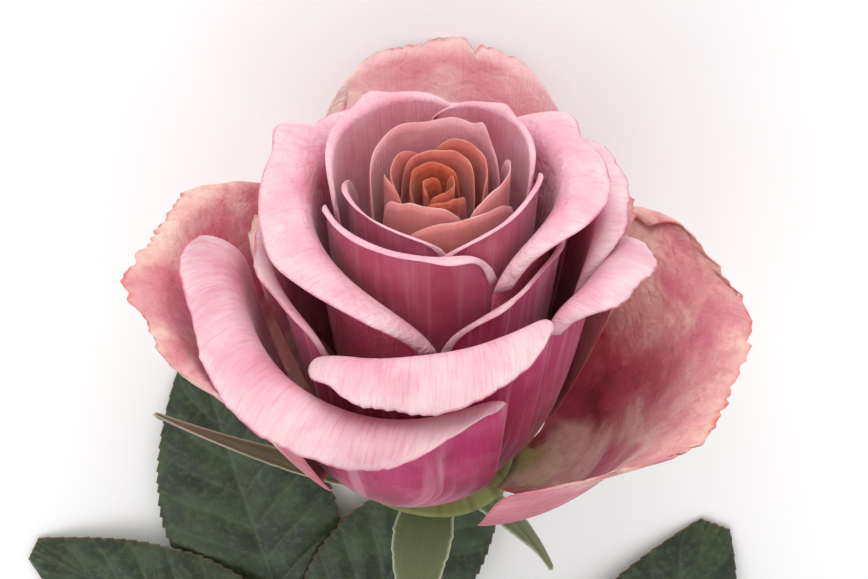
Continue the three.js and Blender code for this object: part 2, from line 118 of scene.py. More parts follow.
def next_foot(at):
    """The next petal's foot radius: past the last foot, and a pitch past every foot that it would
    overlap."""
    radius = (feet[-1][1] if feet else 1.1) + FOOT_STEP
    for other, placed in feet:
        if abs((at - other + 180.0) % 360.0 - 180.0) < FOOT_REACH * CLAW_HALF:
            radius = max(radius, placed + FOOT_PITCH)
    feet.append((at, radius))
    return radius


def smooth(x, low, high):
    """0 under low, 1 over high, and 3t^2 - 2t^3 between them."""
    t = np.clip((x - low) / (high - low), 0.0, 1.0)
    return t * t * (3.0 - 2.0 * t)


def ripple(u, count, waves=5, fade=0.6):
    """A random wave along u: a sum of sines of rising pitch with seeded phases, each fainter by fade,
    scaled to 1."""
    total = np.zeros_like(u)
    for k in range(waves):
        pitch = count * (1.0 + 0.9 * k) * draw.uniform(0.8, 1.2)
        total += fade ** k * np.sin(pitch * u + draw.uniform(0.0, 2.0 * np.pi))
    return total / sum(fade ** k for k in range(waves))


def petal_sheet(u, t, foot, at, half, out, up, lean, drop, lip=0.0, roll=0.0, skew=0.0, cradle=0.0, flare=0.0,
                wave=0.0, rounded=0.12, ragged=0.06, nicks=0.0, buckle=0.3, sway=0.0, opens=0.52,
                tips=()):
    """A petal's middle surface. u runs across from -1 to 1. t runs from the claw, 0, to the crown, 1, along
    a cubic curve of radius and height, and from 1 to 2 along the lip, two arcs, tight then slack, that
    start in the curve's own direction and together turn by roll, less so at the left end where the petal
    has a flare and unevenly where it sways. The angle round the axis is at + u half, and half opens from
    the claw. Returns points and share."""
    rows = BODY_ROWS + (0 if lip == 0.0 else 4 if lip > LONG_LIP else 2)
    body = BODY_ROWS / rows
    along = np.clip(t, 0.0, 1.0)
    past = np.clip(t - 1.0, 0.0, 1.0)
    share = along * body + past * (1.0 - body)
    base = np.array([foot, SEAT_TOP - SEAT_SLOPE * foot + FOOT_LIFT])
    rim = np.stack([out * BLOOM_RADIUS + 0.0 * u, (up + skew * u + cradle * u * u) * BLOOM_HEIGHT], -1)
    rise = rim[..., 1] - base[1]
    slope = np.radians(lean)
    shoulder = rim - SHOULDER_DROP * rise[..., None] * np.array([np.sin(slope), np.cos(slope)])
    belly = np.stack([base[0] + BELLY_REACH * (shoulder[..., 0] - base[0]), base[1] + BELLY_RISE * rise], -1)
    edge = np.abs(u) ** 3
    uneven = ragged * ripple(u, 3.0) + nicks * ripple(u, 38.0, 4, 0.8)
    for tip_at, tip_long, tip_wide in tips:
        uneven = uneven + tip_long * np.exp(-(((u - tip_at) / tip_wide) ** 2))
    end = 1.0 - drop * edge - CORNER_LOSS * np.abs(u) ** 12 + (BARE_RIM * uneven if lip == 0.0 else 0.0)
    b = (along * end)[..., None]
    place = (1 - b) ** 3 * base + 3 * b * (1 - b) ** 2 * belly + 3 * b * b * (1 - b) * shoulder + b ** 3 * rim
    e = end[..., None]
    heading = (1 - e) ** 2 * (belly - base) + 2 * e * (1 - e) * (shoulder - belly) + e * e * (rim - shoulder)
    start = np.arctan2(heading[..., 0], heading[..., 1])
    flat = flare * np.minimum(u, 0.0) ** 2
    turn = np.radians(max(roll, 1.0)) * (1.0 - END_ROLL_LOSS * edge) * (1.0 - FLARE_ROLL_LOSS * flat)
    turn = turn * (1.0 + sway * ripple(u, 4.0, 4))
    length = lip * (1.0 - END_LIP_LOSS * edge * (1.0 - flat)) * (1.0 + uneven)
    folded = start + FOLD_TURN * turn * np.clip(past / FOLD_SHARE, 0.0, 1.0)
    angle = folded + (1.0 - FOLD_TURN) * turn * np.clip((past - FOLD_SHARE) / (1.0 - FOLD_SHARE), 0.0, 1.0)
    tight = length / turn * FOLD_SHARE / FOLD_TURN
    slack = length / turn * (1.0 - FOLD_SHARE) / (1.0 - FOLD_TURN)
    radius = place[..., 0] + tight * (np.cos(start) - np.cos(folded))
    height = place[..., 1] + tight * (np.sin(folded) - np.sin(start))
    radius = radius + slack * (np.cos(folded) - np.cos(angle))
    height = height + slack * (np.sin(angle) - np.sin(folded))
    radius = radius + share ** 4 * (wave * np.sin(WAVE_COUNT * u + at) + 0.5 * wave * ripple(u, 14.0))
    swell = share * (1.0 - edge) * (ripple(u + 0.6 * share, 2.2, 3) + 0.4 * ripple(u - share, 5.0, 3))
    radius = radius + buckle * swell
    opened = smooth(share, OPENING_FROM, opens)
    turned = np.radians(at + u * (CLAW_HALF + (half - CLAW_HALF) * opened) * (1.0 - rounded * share ** 5))
    return np.stack([radius * np.sin(turned), -radius * np.cos(turned), height], -1), share


def closed_sheet(name, middle, thickness, uv, **values):
    """A thin closed mesh from a grid of middle points in metres, rows along and columns across. Each face
    lies half the thickness off the middle along the grid's normal, thinning to a third at the margin, and a
    strip joins them. The attribute inner is 1 on the face against the normal, and rim is the distance to
    the free margin in mm."""
    rows, columns = middle.shape[:2]
    normal = np.cross(np.gradient(middle, axis=1), np.gradient(middle, axis=0))
    normal /= np.linalg.norm(normal, axis=-1, keepdims=True)
    step_along = np.linalg.norm(np.diff(middle, axis=0), axis=-1) / MM
    to_end = np.vstack([np.cumsum(step_along[::-1], axis=0)[::-1], np.zeros((1, columns))])
    step_across = np.linalg.norm(np.diff(middle, axis=1), axis=-1) / MM
    run = np.hstack([np.zeros((rows, 1)), np.cumsum(step_across, axis=1)])
    margin = np.minimum(to_end, np.minimum(run, run[:, -1:] - run))
    half = 0.5 * thickness * MM * (0.33 + 0.67 * smooth(margin, 0.0, 1.2))[..., None]
    count = rows * columns
    above = (middle + normal * half).reshape(-1, 3)
    below = (middle - normal * half).reshape(-1, 3)
    points = np.concatenate([above, below])
    corner = (np.arange(rows - 1)[:, None] * columns + np.arange(columns - 1)).ravel()
    front = np.stack([corner, corner + 1, corner + columns + 1, corner + columns], -1)
    index = np.arange(count).reshape(rows, columns)
    border = np.concatenate([index[0, :-1], index[:-1, -1], index[-1, :0:-1], index[:0:-1, 0]])
    after = np.roll(border, -1)
    strip = np.stack([border, border + count, after + count, after], -1)
    faces = np.concatenate([front, front[:, ::-1] + count, strip])
    mesh = bpy.data.meshes.new(name)
    mesh.from_pydata(points.tolist(), [], faces.tolist())
    mesh.shade_smooth()
    both = np.tile(uv.reshape(-1, 2), (2, 1))
    mesh.uv_layers.new(name="UVMap").data.foreach_set("uv", both[faces.ravel()].ravel())
    inner = np.repeat([0.0, 1.0], count)
    both_faces = {key: np.tile(numbers.ravel(), 2) for key, numbers in values.items()}
    values = {"inner": inner, "rim": np.tile(margin.ravel(), 2)} | both_faces
    for key, numbers in values.items():
        mesh.attributes.new(key, "FLOAT", "POINT").data.foreach_set("value", numbers)
    return mesh


def placed(name, mesh, finish, node, slot):
    """Puts a mesh in the scene as a piece that stands for a CAD node and rides on the part. The slot is not
    used."""
    piece = bpy.data.objects.new(name, mesh)
    bpy.context.scene.collection.objects.link(piece)
    mesh.materials.append(finish)
    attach(piece, "root")
    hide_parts(node)
    return piece


def shade(red, green, blue):
    """A colour from its everyday 0 to 255 values, in the linear values that the shader takes."""
    part = np.array([red, green, blue]) / 255.0
    linear = np.where(part <= 0.04045, part / 12.92, ((part + 0.055) / 1.055) ** 2.4)
    return (*linear, 1.0)


class Recipe:
    """A material's node tree, with short calls for the nodes that the rose's tissues are made of."""

    def __init__(self, name, roughness, sheen, softness, depth, specular=0.3):
        self.material = bpy.data.materials.new(name)
        self.material.use_nodes = True
        self.tree = self.material.node_tree
        self.shader = self.tree.nodes["Principled BSDF"]
        for socket, value in (("Roughness", roughness), ("Sheen Weight", sheen), ("Sheen Roughness", 0.45),
                              ("Subsurface Weight", softness), ("Subsurface Scale", depth * MM),
                              ("Subsurface Radius", (1.0, 0.42, 0.36)), ("Specular IOR Level", specular)):
            self.shader.inputs[socket].default_value = value

    def put(self, kind, *inputs, **settings):
        node = self.tree.nodes.new(kind)
        for key, value in settings.items():
            setattr(node, key, value)
        for socket, value in zip(node.inputs, inputs):
            if isinstance(value, bpy.types.NodeSocket):
                self.tree.links.new(value, socket)
            elif value is not None:
                socket.default_value = value
        return node

    def attribute(self, name):
        return self.put("ShaderNodeAttribute", attribute_name=name).outputs["Fac"]

    def uv(self, axis):
        return self.put("ShaderNodeSeparateXYZ", self.put("ShaderNodeUVMap").outputs[0]).outputs[axis]

    def sums(self, operation, *values):
        return self.put("ShaderNodeMath", *values, operation=operation).outputs[0]

    def between(self, value, low, high, to_low=0.0, to_high=1.0):
        return self.put("ShaderNodeMapRange", value, low, high, to_low, to_high,
                        interpolation_type="SMOOTHSTEP").outputs[0]

    def noise(self, scale, detail=3.0, stretch=None, distortion=0.0):
        if stretch:
            place = self.put("ShaderNodeMapping", self.put("ShaderNodeUVMap").outputs[0], None, None, stretch)
            source = place.outputs[0]
        else:
            source = self.put("ShaderNodeTexCoord").outputs["Object"]
        node = self.put("ShaderNodeTexNoise", source)
        for socket, value in (("Scale", scale), ("Detail", detail), ("Distortion", distortion)):
            node.inputs[socket].default_value = value
        return node.outputs[0]

    def ramp(self, value, stops):
        node = self.put("ShaderNodeValToRGB", value)
        bands = node.color_ramp.elements
        for _ in range(len(stops) - 2):
            bands.new(0.5)
        for band, (place, colour) in zip(bands, stops):
            band.position = place
            band.color = shade(*colour)
        return node.outputs[0]

    def mix(self, factor, a, b, blend="MIX"):
        node = self.tree.nodes.new("ShaderNodeMix")
        node.data_type = "RGBA"
        node.blend_type = blend
        for socket, value in ((node.inputs[0], factor), (node.inputs[6], a), (node.inputs[7], b)):
            if isinstance(value, bpy.types.NodeSocket):
                self.tree.links.new(value, socket)
            else:
                socket.default_value = value
        return node.outputs[2]

    def finish(self, colour, relief, strength, height):
        bump = self.put("ShaderNodeBump", strength, height * MM)
        self.tree.links.new(relief, bump.inputs["Height"])
        self.tree.links.new(bump.outputs[0], self.shader.inputs["Normal"])
        self.tree.links.new(colour, self.shader.inputs["Base Color"])
        return self.material


def petal_tissue(name, inside, outside, rim, rim_width=0.8, streaks=0.25, mottle=0.12, softness=0.2,
                 blotches=((150.0, 0.22, (206, 112, 142)),), crumple=0.0):
    """Satin petal tissue: each face is coloured from claw to rim by its own ramp, shifted here and there by
    a broad noise. Pale streaks run along the petal, strongest on the back, blotches of other colours lie
    over both, and a thin broken line of the rim colour follows the margin. The relief is fine veins along
    the petal with small cells between them, and coarse crumples where the tissue has any."""
    recipe = Recipe(name, 0.62, 0.2, softness, 1.2)
    shift = recipe.between(recipe.noise(85.0, 3.0), 0.3, 0.7, -mottle, mottle)
    along = recipe.sums("ADD", recipe.uv("Y"), shift)
    veins = recipe.noise(1.0, 4.0, (15.0, 1.6, 1.0), 0.9)
    fine = recipe.noise(1.0, 3.0, (110.0, 5.0, 1.0), 0.4)
    inner = recipe.attribute("inner")
    colour_in = recipe.ramp(along, inside)
    colour_out = recipe.ramp(along, outside)
    pale = recipe.mix(0.6, colour_out, shade(232, 176, 192))
    deep = recipe.mix(0.55, colour_in, colour_out)
    colour_out = recipe.mix(recipe.between(veins, 0.47, 0.68, 0.0, streaks), colour_out, pale)
    colour_in = recipe.mix(recipe.between(fine, 0.42, 0.72, 0.0, 0.5), colour_in, deep)
    colour = recipe.mix(inner, colour_out, colour_in)
    for scale, amount, tint in blotches:
        spread = recipe.between(recipe.noise(scale, 4.0, None, 0.6), 0.46, 0.66, 0.0, amount)
        colour = recipe.mix(spread, colour, shade(*tint))
    wander = recipe.between(recipe.noise(260.0, 2.0), 0.35, 0.7, 0.25, 1.0)
    line = recipe.sums("MULTIPLY", recipe.between(recipe.attribute("rim"), 0.0, rim_width, 1.0, 0.0), wander)
    colour = recipe.mix(line, colour, shade(*rim))
    cells = recipe.sums("MULTIPLY", recipe.noise(1500.0, 3.0), 0.5)
    relief = recipe.sums("ADD", recipe.sums("ADD", fine, cells), recipe.sums("MULTIPLY", veins, 0.5))
    lumps = recipe.sums("MULTIPLY", recipe.noise(330.0, 3.0, None, 0.8), 3.0 * crumple)
    return recipe.finish(colour, recipe.sums("ADD", relief, lumps), 0.55, 0.5)


def add_petals(group, finishes, rows, **same):
    """Makes a group's petals in order from the heart outwards. A row is at, half, out, up, lean, drop, then
    lip and roll where it has a lip, then a dict of what only this petal has, with finish as the finish it
    is made of."""
    for number, row in enumerate(rows, start=1):
        own = dict(same)
        if isinstance(row[-1], dict):
            own |= row[-1]
            row = row[:-1]
        finish = finishes[own.pop("finish", 0)]
        has_lip = len(row) > 6
        along = np.linspace(0.0, 1.0, PETAL_ALONG)
        if has_lip:
            along = np.concatenate([along, 1.0 + np.linspace(0.0, 1.0, LIP_ALONG + 1)[1:]])
        u, t = np.meshgrid(np.linspace(-1.0, 1.0, PETAL_ACROSS + 1), along)
        points, share = petal_sheet(u, t, next_foot(row[0]), *row, **own)
        uv = np.stack([0.5 + 0.5 * u, share], -1)
        mesh = closed_sheet(f"petal_{group}_{number}", laid_down(points), PETAL_THICKNESS, uv)
        placed(f"petal_{group}_{number}", mesh, finish, f"{group}_petal_{number}", f"{group}_petals")


heart_core = petal_tissue(
    "heart_core",
    inside=[(0.0, (110, 20, 16)), (0.75, (166, 50, 34)), (1.0, (200, 98, 66))],
    outside=[(0.0, (110, 20, 18)), (0.7, (168, 52, 38)), (1.0, (206, 104, 74))],
    rim=(212, 126, 92), rim_width=0.35,
    blotches=((400.0, 0.4, (142, 34, 26)),),
)
heart_ring = petal_tissue(
    "heart_ring",
    inside=[(0.0, (130, 24, 24)), (0.75, (184, 68, 56)), (1.0, (206, 112, 100))],
    outside=[(0.0, (140, 26, 30)), (0.7, (184, 66, 60)), (1.0, (212, 120, 110))],
    rim=(222, 156, 134), rim_width=0.4,
    blotches=((300.0, 0.35, (160, 50, 44)),),
)
add_petals("heart", (heart_core, heart_ring), [
    (-120, 105, 0.04, 0.9, 2, 0.02),
    (60, 100, 0.058, 0.905, 2, 0.02),
    (-150, 110, 0.082, 0.915, 0, 0.03),
    (20, 60, 0.102, 0.905, 0, 0.04),
    (165, 92, 0.1215, 0.94, 0, 0.04, {"finish": 1}),
    (-110, 70, 0.142, 0.945, 0, 0.05, {"finish": 1}),
    (125, 72, 0.16, 0.96, 0, 0.05, {"finish": 1}),
    (-68, 36, 0.163, 0.955, 0, 0.05, {"finish": 1}),
], buckle=0.15, ragged=0.04)

# Cup petals: four petals that close round the heart. The long one behind stands up as the bloom's collar,
# and the two in front overlap low down. They are the same satin tissue, rose pink inside and warmer on the
# back.
# Darker towards the claw: partly the petals' own tone, partly painted shade deep in the cup.
cup_tissue = petal_tissue(
    "cup_tissue",
    inside=[(0.0, (140, 26, 34)), (0.6, (188, 82, 94)), (0.85, (212, 134, 146)), (1.0, (222, 162, 172))],
    outside=[(0.0, (146, 32, 40)), (0.6, (194, 80, 84)), (1.0, (216, 136, 130))],
    rim=(228, 178, 174), rim_width=0.5,
)
add_petals("cup", (cup_tissue,), [
    (-170, 105, 0.207, 0.985, 1, 0.05, {"tips": [(-0.62, 0.12, 0.1)]}),
    (70, 55, 0.235, 0.975, 2, 0.05),
    (-14, 50, 0.2, 0.95, 2, 0.04),
    (26, 60, 0.256, 0.935, 3, 0.05),
], buckle=0.25, ragged=0.06)

# Middle petals: eight larger petals. The later they stand, the further their rims roll back, and the two
# broadest show a pale lip with a drawn-out tip. The tissue deepens to rose on the back and to crimson
# towards the claw, partly its own tone and partly painted shade where the claws lie deep in the bloom.
middle_tissue = petal_tissue(
    "middle_tissue",
    inside=[(0.0, (120, 16, 40)), (0.4, (190, 82, 106)), (0.62, (218, 148, 164)),
            (1.0, (230, 188, 196))],
    outside=[(0.0, (110, 12, 34)), (0.4, (166, 46, 80)), (0.75, (196, 90, 118)), (1.0, (218, 146, 162))],
    rim=(226, 150, 168), rim_width=0.6,
)
lip_tissue = petal_tissue(
    "lip_tissue",
    inside=[(0.0, (120, 16, 40)), (0.35, (196, 84, 112)), (0.55, (212, 142, 160)),
            (0.75, (224, 172, 184)), (1.0, (232, 196, 200))],
    outside=[(0.0, (130, 16, 44)), (0.25, (196, 58, 98)), (0.5, (218, 98, 132)), (1.0, (222, 128, 152))],
    rim=(222, 104, 142), rim_width=0.7, streaks=0.3, crumple=1.0,
)
add_petals("middle", (middle_tissue, lip_tissue), [
    (-50, 66, 0.283, 0.91, 4, 0.06, 1.4, 70),
    (132, 62, 0.299, 0.985, 3, 0.07, 1.6, 70, {"tips": [(0.1, 0.5, 0.12)]}),
    (45, 52, 0.328, 0.94, 4, 0.04, 1.6, 80, {"skew": 0.05}),
    (-138, 70, 0.33, 0.975, 4, 0.07, 2.6, 80, {"tips": [(-0.12, 0.5, 0.12)]}),
    (-30, 66, 0.356, 0.89, 5, 0.05, 2.2, 90, {"tips": [(0.72, 3.2, 0.2)]}),
    (95, 66, 0.381, 0.885, 7, 0.07, 11, 110, {"finish": 1, "tips": [(0.55, 0.3, 0.12)]}),
    (-72, 74, 0.396, 0.8, 7, 0.05, 12, 110,
     {"skew": -0.1, "cradle": -0.04, "flare": 0.6, "finish": 1, "tips": [(-0.68, 0.35, 0.1)]}),
    (175, 52, 0.41, 0.8, 8, 0.1, 4, 80),
], buckle=0.35, sway=0.15, ragged=0.1)

# Outer petals: nine broad petals. The two in front roll right over into wide pale lips above their magenta
# backs, which are streaked pale along their veins. The ones behind stand lower and carry the bloom where it
# lies.
# Darker towards the claw on both faces: partly the petals' own tone, partly painted shade deep in the bloom.
outer_tissue = petal_tissue(
    "outer_tissue",
    inside=[(0.0, (110, 14, 36)), (0.35, (176, 62, 92)), (0.6, (218, 152, 168)), (0.8, (226, 180, 190)),
            (1.0, (232, 200, 202))],
    outside=[(0.0, (140, 34, 54)), (0.12, (136, 8, 58)), (0.45, (184, 38, 104)), (0.75, (200, 70, 124)),
             (1.0, (216, 124, 154))],
    rim=(216, 86, 132), rim_width=0.7, streaks=0.6,
)
add_petals("outer", (outer_tissue,), [
    (42, 42, 0.42, 0.76, 9, 0.06, 2, 80, {"skew": 0.08}),
    (150, 50, 0.464, 0.8, 11, 0.1, 4, 80),
    (-152, 50, 0.512, 0.8, 12, 0.1, 4, 80),
    (108, 42, 0.505, 0.77, 12, 0.08, 9, 105),
    (72, 30, 0.53, 0.7, 12, 0.05, 12, 115, {"skew": -0.04}),
    (-78, 38, 0.535, 0.68, 14, 0.1, 4, 70),
    (-2, 44, 0.565, 0.685, 12, 0.03, 14, 135, {"skew": 0.09, "opens": 0.3}),
    (178, 46, 0.575, 0.73, 18, 0.12, 5, 70),
    (-35, 57, 0.625, 0.49, 14, 0.02, 15, 140,
     {"skew": -0.04, "cradle": 0.15, "flare": 0.85, "opens": 0.3, "tips": [(-0.85, 0.25, 0.12)]}),
], buckle=0.6, nicks=0.03, sway=0.2, ragged=0.12)

# Guard petals: the five outermost, weathered and opened almost flat. Their faces are mottled with cream and
# magenta, their ragged rims are coral, and their claws are yellow-green. Two small ones stand hidden
# behind.
# The dark crimson band above the yellow-green claws is partly the petals' own tone, partly painted shade
# under the bloom.
guard_tissue = petal_tissue(
    "guard_tissue",
    inside=[(0.0, (170, 172, 96)), (0.05, (140, 50, 44)), (0.12, (122, 24, 42)), (0.35, (178, 66, 90)),
            (0.5, (202, 120, 132)), (0.75, (212, 156, 152)), (1.0, (226, 186, 172))],
    outside=[(0.0, (205, 200, 140)), (0.15, (170, 60, 80)), (0.6, (208, 110, 130)),
             (1.0, (226, 170, 160))],
    rim=(202, 92, 84), rim_width=1.4, streaks=0.3, mottle=0.14, crumple=0.8,
    blotches=((50.0, 0.55, (190, 80, 116)), (55.0, 0.75, (230, 200, 184)), (420.0, 0.25, (172, 90, 92))),
)
guard_back = petal_tissue(
    "guard_back",
    inside=[(0.0, (170, 172, 96)), (0.15, (150, 40, 60)), (0.5, (210, 124, 134)), (0.8, (226, 182, 182)),
            (1.0, (230, 192, 190))],
    outside=[(0.0, (205, 200, 140)), (0.15, (170, 60, 80)), (0.6, (208, 110, 130)),
             (1.0, (226, 170, 160))],
    rim=(198, 118, 120), rim_width=1.2, streaks=0.3, crumple=0.6,
    blotches=((50.0, 0.6, (236, 206, 192)), (170.0, 0.3, (204, 120, 132))),
)
add_petals("guard", (guard_tissue, guard_back), [
    (-138, 38, 0.648, 0.54, 34, 0.16, 6, 50),
    (130, 38, 0.65, 0.54, 34, 0.16, 6, 50),
    (178, 34, 0.9, 0.735, 36, 0.14, 4, 30, {"finish": 1, "tips": [(-0.22, -0.6, 0.035)]}),
    (-93, 55, 0.86, 0.54, 46, 0.18, 7, 45),
    (74, 60, 0.89, 0.35, 58, 0.1, 6, 30, {"skew": 0.06, "cradle": 0.14}),
], wave=1.0, rounded=0.24, opens=0.3, buckle=1.2, nicks=0.14, ragged=0.15)

# Hip: the green swelling under the petals, which is the young fruit. It is one turned body with the
# receptacle on top, firm and smooth, ribbed faintly under the sepals, and it narrows into the stem.
HIP_RADIUS = 5.2
HIP_LENGTH = 14.0
STEM_RADIUS = 2.6
PIECE_GAP = 0.3
CAD_PETAL = 0.6
seat_radius = max(radius for _, radius in feet) + CAD_PETAL + PIECE_GAP
seat_edge = SEAT_TOP - SEAT_SLOPE * seat_radius
hip_floor = seat_edge - HIP_LENGTH


def wrapped(name, rings, along_uv, **values):
    """A closed tube from rings of points in metres, rows along and columns round. Its columns join up, and
    its first and last rings close onto a point at their own middle. Faces point out where the columns turn
    clockwise."""
    rows, columns = rings.shape[:2]
    ends = rings[[0, -1]].mean(axis=1)
    points = np.concatenate([rings.reshape(-1, 3), ends])
    index = np.arange(rows * columns).reshape(rows, columns)
    beside = np.roll(index, -1, axis=1)
    walls = np.stack([index[:-1], index[1:], beside[1:], beside[:-1]], -1).reshape(-1, 4).tolist()
    foot = np.stack([np.full(columns, rows * columns), index[0], beside[0]], -1).tolist()
    head = np.stack([np.full(columns, rows * columns + 1), beside[-1], index[-1]], -1).tolist()
    mesh = bpy.data.meshes.new(name)
    mesh.from_pydata(points.tolist(), [], walls + foot + head)
    mesh.shade_smooth()
    corners = np.empty(len(mesh.loops), dtype=np.int32)
    mesh.loops.foreach_get("vertex_index", corners)
    round_share = np.tile(np.abs(np.linspace(-1.0, 1.0, columns, endpoint=False)), (rows, 1))
    uv = np.stack([round_share, np.broadcast_to(along_uv[:, None], (rows, columns))], -1).reshape(-1, 2)
    uv = np.concatenate([uv, [[0.5, along_uv[0]], [0.5, along_uv[-1]]]])
    mesh.uv_layers.new(name="UVMap").data.foreach_set("uv", uv[corners].ravel())
    for key, numbers in values.items():
        mesh.attributes.new(key, "FLOAT", "POINT").data.foreach_set("value", numbers)
    return mesh


def hip_skin():
    """Smooth green skin, paler and yellower at the top, with fine bloom and faint darker ribs."""
    recipe = Recipe("hip_skin", 0.42, 0.1, 0.1, 1.0)
    ribs = recipe.noise(1.0, 3.0, (16.0, 1.5, 1.0))
    colour = recipe.ramp(recipe.uv("Y"), [(0.0, (96, 92, 54)), (0.5, (112, 122, 66)), (1.0, (168, 172, 112))])
    colour = recipe.mix(recipe.between(ribs, 0.45, 0.7, 0.0, 0.5), colour, shade(82, 66, 40))
    return recipe.finish(colour, recipe.noise(1600.0, 3.0), 0.25, 0.2)


def hip_outline(share):
    """Radius and height along the hip: a cubic curve swells from the stem to the widest place and in to the
    sepals' seat, a straight slope leads out to the petals' seat, and the receptacle rises in a straight
    cone to its tip."""
    a, b, c, d = np.array([[STEM_RADIUS, hip_floor], [HIP_RADIUS, hip_floor + 0.2 * HIP_LENGTH],
                           [HIP_RADIUS, seat_edge - 0.45 * HIP_LENGTH],
                           [0.9 * HIP_RADIUS, seat_edge - 0.3 * HIP_LENGTH]])
    t = share[:, None]
    swell = (1 - t) ** 3 * a + 3 * t * (1 - t) ** 2 * b + 3 * t * t * (1 - t) * c + t ** 3 * d
    slope = d + (np.array([seat_radius, seat_edge]) - d) * t
    cone = np.array([seat_radius, seat_edge]) + (np.array([0.05, SEAT_TOP]) - [seat_radius, seat_edge]) * t
    return np.concatenate([swell, slope[1:], cone[1:]])


outline = hip_outline(np.linspace(0.0, 1.0, 24))
turn = np.linspace(0.0, -2.0 * np.pi, 72, endpoint=False)
ribbing = 1.0 + 0.012 * np.cos(5.0 * turn)
rings = np.stack([outline[:, :1] * np.cos(turn) * ribbing, outline[:, :1] * np.sin(turn) * ribbing,
                  outline[:, 1:] + 0.0 * turn], -1)
hip_mesh = wrapped("rose_hip", laid_down(rings), np.linspace(0.0, 1.0, len(outline)))
placed("rose_hip", hip_mesh, hip_skin(), "hip", "hip")

# Sepals: five narrow green leaves that wrapped the bud and now fold back round the hip. They are leathery,
# olive outside with a pale downy margin, and the longest one reaches out past the bloom and ends in a thin
# dry tip.
SEPAL_THICKNESS = 0.5
SEPAL_SEAT = 0.36
SEPAL_CUP = 0.08
CAD_SEPAL = 0.7


def leaf_outline(v, foot, first, last, low, full):
    """Half a leaf's width along it, as a share of its widest. The share along is spread from first to last
    and raised to low, and the sine of pi times that is raised to full, on top of the foot's own width."""
    return foot + (1.0 - foot) * np.sin(np.pi * (first + (last - first) * v) ** low) ** full


def sepal_sheet(u, v, at, length, width, first, last, fringe):
    """A sepal's middle: a strip along a circular arc in the plane of the axis, from slope first to slope
    last. It is widest a fifth of the way along, cupped across, and its margin carries small teeth."""
    face = np.radians(at)
    first, last = np.radians(first), np.radians(last)
    slope = first + (last - first) * v
    away = HIP_RADIUS + CAD_SEPAL + PIECE_GAP + length / (last - first) * (np.cos(first) - np.cos(slope))
    height = seat_edge - SEPAL_SEAT * HIP_LENGTH + length / (last - first) * (np.sin(slope) - np.sin(first))
    half = 0.5 * width * leaf_outline(v, 0.12, 0.12, 0.96, 0.62, 1.2)
    half = half * (1.0 + fringe * np.abs(u) * ripple(v, 40.0, 3, 0.8))
    away = away + (1.0 - u * u) * width * SEPAL_CUP - 0.12 * np.exp(-((u / 0.08) ** 2))
    away = away + 0.25 * ripple(v + u, 7.0, 3)
    outward = np.array([np.sin(face), -np.cos(face), 0.0])
    sideways = np.array([np.cos(face), np.sin(face), 0.0])
    return away[..., None] * outward + (u * half)[..., None] * sideways + height[..., None] * [0.0, 0.0, 1.0]


def sepal_skin(name, base, tip):
    """Leathery green, browner towards the tip, with fine lengthwise veins, a pale downy margin and a soft
    down."""
    recipe = Recipe(name, 0.62, 0.35, 0.1, 0.8)
    veins = recipe.noise(1.0, 3.0, (26.0, 2.0, 1.0), 0.3)
    colour = recipe.ramp(recipe.uv("Y"), [(0.0, base), (0.55, base), (1.0, tip)])
    colour = recipe.mix(recipe.between(veins, 0.4, 0.7, 0.0, 0.45), colour, shade(44, 50, 22))
    under = recipe.sums("MULTIPLY", recipe.attribute("inner"), 0.35)
    colour = recipe.mix(under, colour, shade(150, 160, 120))
    margin = recipe.between(recipe.attribute("rim"), 0.0, 0.75, 0.9, 0.0)
    colour = recipe.mix(margin, colour, shade(196, 200, 172))
    return recipe.finish(colour, recipe.sums("ADD", veins, recipe.noise(2200.0, 2.0)), 0.5, 0.3)


sepal_green = sepal_skin("sepal_green", (66, 74, 32), (104, 100, 60))
sepal_dry = sepal_skin("sepal_dry", (74, 74, 36), (96, 62, 44))
for number, (at, length, width, first, last, skin) in enumerate([
        (-12, 26, 11.5, 112, 168, sepal_green),
        (-82, 52, 7, 72, 54, sepal_dry),
        (72, 24, 7, 112, 156, sepal_green),
        (128, 24, 7, 112, 150, sepal_green),
        (-150, 26, 7, 112, 150, sepal_green)], start=1):
    u, v = np.meshgrid(np.linspace(-1.0, 1.0, 33), np.linspace(0.0, 1.0, 91))
    middle = laid_down(sepal_sheet(u, v, at, length, width, first, last, 0.03))
    mesh = closed_sheet(f"rose_sepal_{number}", middle, SEPAL_THICKNESS, np.stack([0.5 + 0.5 * u, v], -1))
    placed(f"rose_sepal_{number}", mesh, skin, f"sepal_{number}", "sepals")

# Stem: one woody green shoot from the hip to its cut end, bent gently to the bloom's left, with six hooked
# prickles that grow from its bark. The cut shows pale pith inside a green ring.
STEM_LENGTH = 232.0
STEM_LEAN = 9.0
PRICKLE_LENGTH = 4.5
PRICKLE_COUNT = 6
FIRST_PRICKLE = 0.2
PRICKLE_SPAN = 0.72
FIRST_PRICKLE_SIDE = -60.0
PRICKLE_TURN = 137.5
stem_top = hip_floor - PIECE_GAP
stem_stops = np.array([
    [0.0, stem_top],
    [0.0, stem_top - 2.0 * STEM_RADIUS],
    [-0.62 * STEM_LEAN, stem_top - 0.2 * STEM_LENGTH],
    [-STEM_LEAN, stem_top - 0.45 * STEM_LENGTH],
    [-0.6 * STEM_LEAN, stem_top - 0.75 * STEM_LENGTH],
    [0.0, stem_top - STEM_LENGTH],
])


